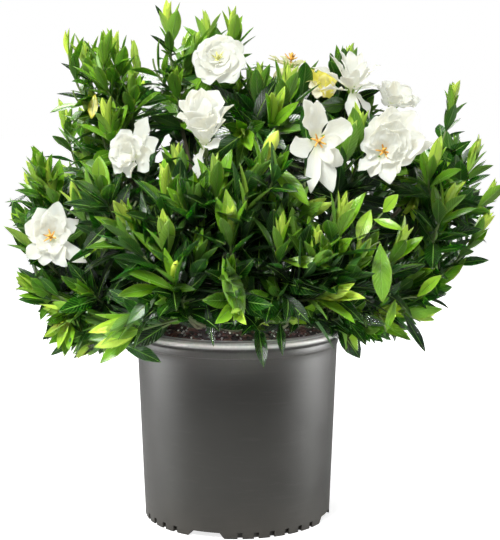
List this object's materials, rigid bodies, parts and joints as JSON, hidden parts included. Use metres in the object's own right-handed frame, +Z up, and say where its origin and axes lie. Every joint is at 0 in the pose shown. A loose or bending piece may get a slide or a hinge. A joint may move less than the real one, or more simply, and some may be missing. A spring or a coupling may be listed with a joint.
{
  "type": "potted gardenia",
  "caption": "Flowering evergreen gardenia shrub with white double blooms and glossy leaves, rooted in a round grey nursery pot.",
  "frame": {"origin": "middle of the pot's flat underside, on the surface that it stands on", "axes": "+Z up along the pot's axis, -Y towards the side where most of the blooms face, +X to the right of it"},
  "size_m": [0.5677, 0.4954, 0.5802],
  "materials": {
    "pot": "matte moulded grey plastic, faintly mottled",
    "soil": "loose bark potting mix with perlite",
    "bark": "grey-brown fissured bark, green on young wood",
    "leaf": "glossy green leaves, lime at the shoot tips, with green stems and buds",
    "petal": "matte white waxy petals",
    "fading_petal": "petals turned yellow with age",
    "spent_petal": "narrow cream petals of a bloom that is over",
    "anther": "powdery golden anthers and a pale stigma"
  },
  "bodies": {
    "root": {"pot": "pot", "soil": "soil", "woody_stems": "bark", "bloom_left": "petal", "bloom_top": "petal", "bloom_cup": "petal", "bloom_leaning": "petal", "bloom_star": "petal", "bloom_full": "petal", "bloom_high": "petal", "bloom_back": "petal", "bloom_fading": "fading_petal", "bloom_spent": "spent_petal", "bloom_left_anthers": "anther", "bloom_top_anthers": "anther", "bloom_star_anthers": "anther", "bloom_full_anthers": "anther", "bloom_spent_anthers": "anther", "spray_01": "leaf", "spray_02": "leaf", "spray_03": "leaf", "spray_04": "leaf", "spray_05": "leaf", "spray_06": "leaf", "spray_07": "leaf", "spray_08": "leaf", "spray_09": "leaf", "spray_10": "leaf", "spray_11": "leaf", "spray_12": "leaf", "spray_13": "leaf", "spray_14": "leaf", "spray_15": "leaf", "spray_16": "leaf", "spray_17": "leaf", "spray_18": "leaf", "spray_19": "leaf", "spray_20": "leaf", "spray_21": "leaf", "spray_22": "leaf", "spray_23": "leaf", "spray_24": "leaf", "spray_25": "leaf", "spray_26": "leaf", "spray_27": "leaf", "spray_28": "leaf", "spray_29": "leaf", "spray_30": "leaf", "spray_31": "leaf", "spray_32": "leaf", "spray_33": "leaf", "spray_34": "leaf", "spray_35": "leaf", "spray_36": "leaf", "spray_37": "leaf", "spray_38": "leaf", "spray_39": "leaf", "spray_40": "leaf", "spray_41": "leaf"}
  },
  "joints": []
}
